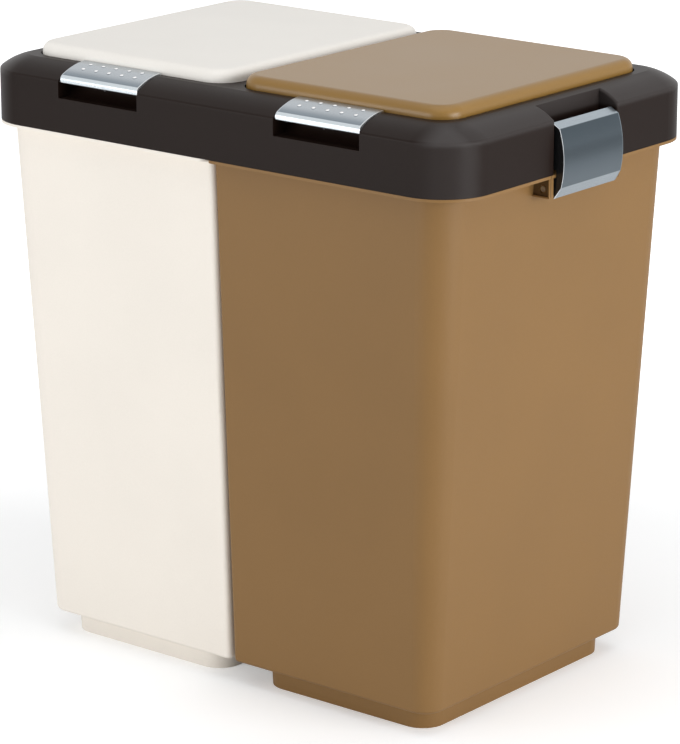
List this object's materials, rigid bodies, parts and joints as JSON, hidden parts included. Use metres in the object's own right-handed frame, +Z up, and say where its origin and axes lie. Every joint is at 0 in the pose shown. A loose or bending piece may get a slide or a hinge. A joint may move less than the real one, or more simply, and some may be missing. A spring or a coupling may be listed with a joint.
{
  "type": "recycling bin",
  "caption": "Two tapered plastic bins side by side under one dark lid frame, each with a hinged push-button lid; clamps on both sides hold the frame down.",
  "frame": {"origin": "on the floor under the middle of the whole, between the two bins", "axes": "+X along the front from the cream bin to the tan bin, +Y from the button side to the hinge side, +Z up"},
  "size_m": [0.5048, 0.327, 0.5091],
  "materials": {
    "cream_plastic": "cream moulded plastic, fine matte texture",
    "tan_plastic": "tan moulded plastic, fine matte texture",
    "brown_plastic": "very dark brown moulded plastic, satin",
    "silver_plating": "satin silver plated plastic",
    "pin_steel": "plain drawn steel",
    "spring_steel": "oiled spring wire"
  },
  "bodies": {
    "bins": {"left_bin": "cream_plastic", "right_bin": "tan_plastic", "left_clamp_pin": "pin_steel", "right_clamp_pin": "pin_steel"},
    "lid_frame": {"lid_frame": "brown_plastic", "left_hinge_pin_outer": "pin_steel", "left_hinge_pin_inner": "pin_steel", "left_lid_spring": "spring_steel", "left_button_pin": "pin_steel", "left_button_spring": "spring_steel", "right_hinge_pin_outer": "pin_steel", "right_hinge_pin_inner": "pin_steel", "right_lid_spring": "spring_steel", "right_button_pin": "pin_steel", "right_button_spring": "spring_steel"},
    "left_lid": {"left_lid": "cream_plastic"},
    "left_button": {"left_button": "silver_plating"},
    "left_clamp": {"left_clamp": "silver_plating"},
    "right_lid": {"right_lid": "tan_plastic"},
    "right_button": {"right_button": "silver_plating"},
    "right_clamp": {"right_clamp": "silver_plating"}
  },
  "joints": [
    {"name": "frame_lift", "type": "slide", "parent": "bins", "child": "lid_frame", "axis": [0, 0, 1], "range_m": [0, 0.12]},
    {"name": "left_lid_hinge", "type": "hinge", "parent": "lid_frame", "child": "left_lid", "pos_m": [-0.10975, 0.1329, 0.5013], "axis": [-1, 0, 0], "range_deg": [0, 95]},
    {"name": "right_lid_hinge", "type": "hinge", "parent": "lid_frame", "child": "right_lid", "pos_m": [0.10975, 0.1329, 0.5013], "axis": [-1, 0, 0], "range_deg": [0, 95]},
    {"name": "left_button_press", "type": "hinge", "parent": "lid_frame", "child": "left_button", "pos_m": [-0.113, -0.151, 0.4866], "axis": [1, 0, 0], "range_deg": [0, 10], "stiffness_Nm_per_rad": 0.2, "springref_deg": -5.73},
    {"name": "right_button_press", "type": "hinge", "parent": "lid_frame", "child": "right_button", "pos_m": [0.113, -0.151, 0.4866], "axis": [1, 0, 0], "range_deg": [0, 10], "stiffness_Nm_per_rad": 0.2, "springref_deg": -5.73},
    {"name": "left_clamp_swing", "type": "hinge", "parent": "bins", "child": "left_clamp", "pos_m": [-0.237, 0.007, 0.4339], "axis": [0, -1, 0], "range_deg": [0, 85]},
    {"name": "right_clamp_swing", "type": "hinge", "parent": "bins", "child": "right_clamp", "pos_m": [0.237, 0.007, 0.4339], "axis": [0, 1, 0], "range_deg": [0, 85]}
  ]
}
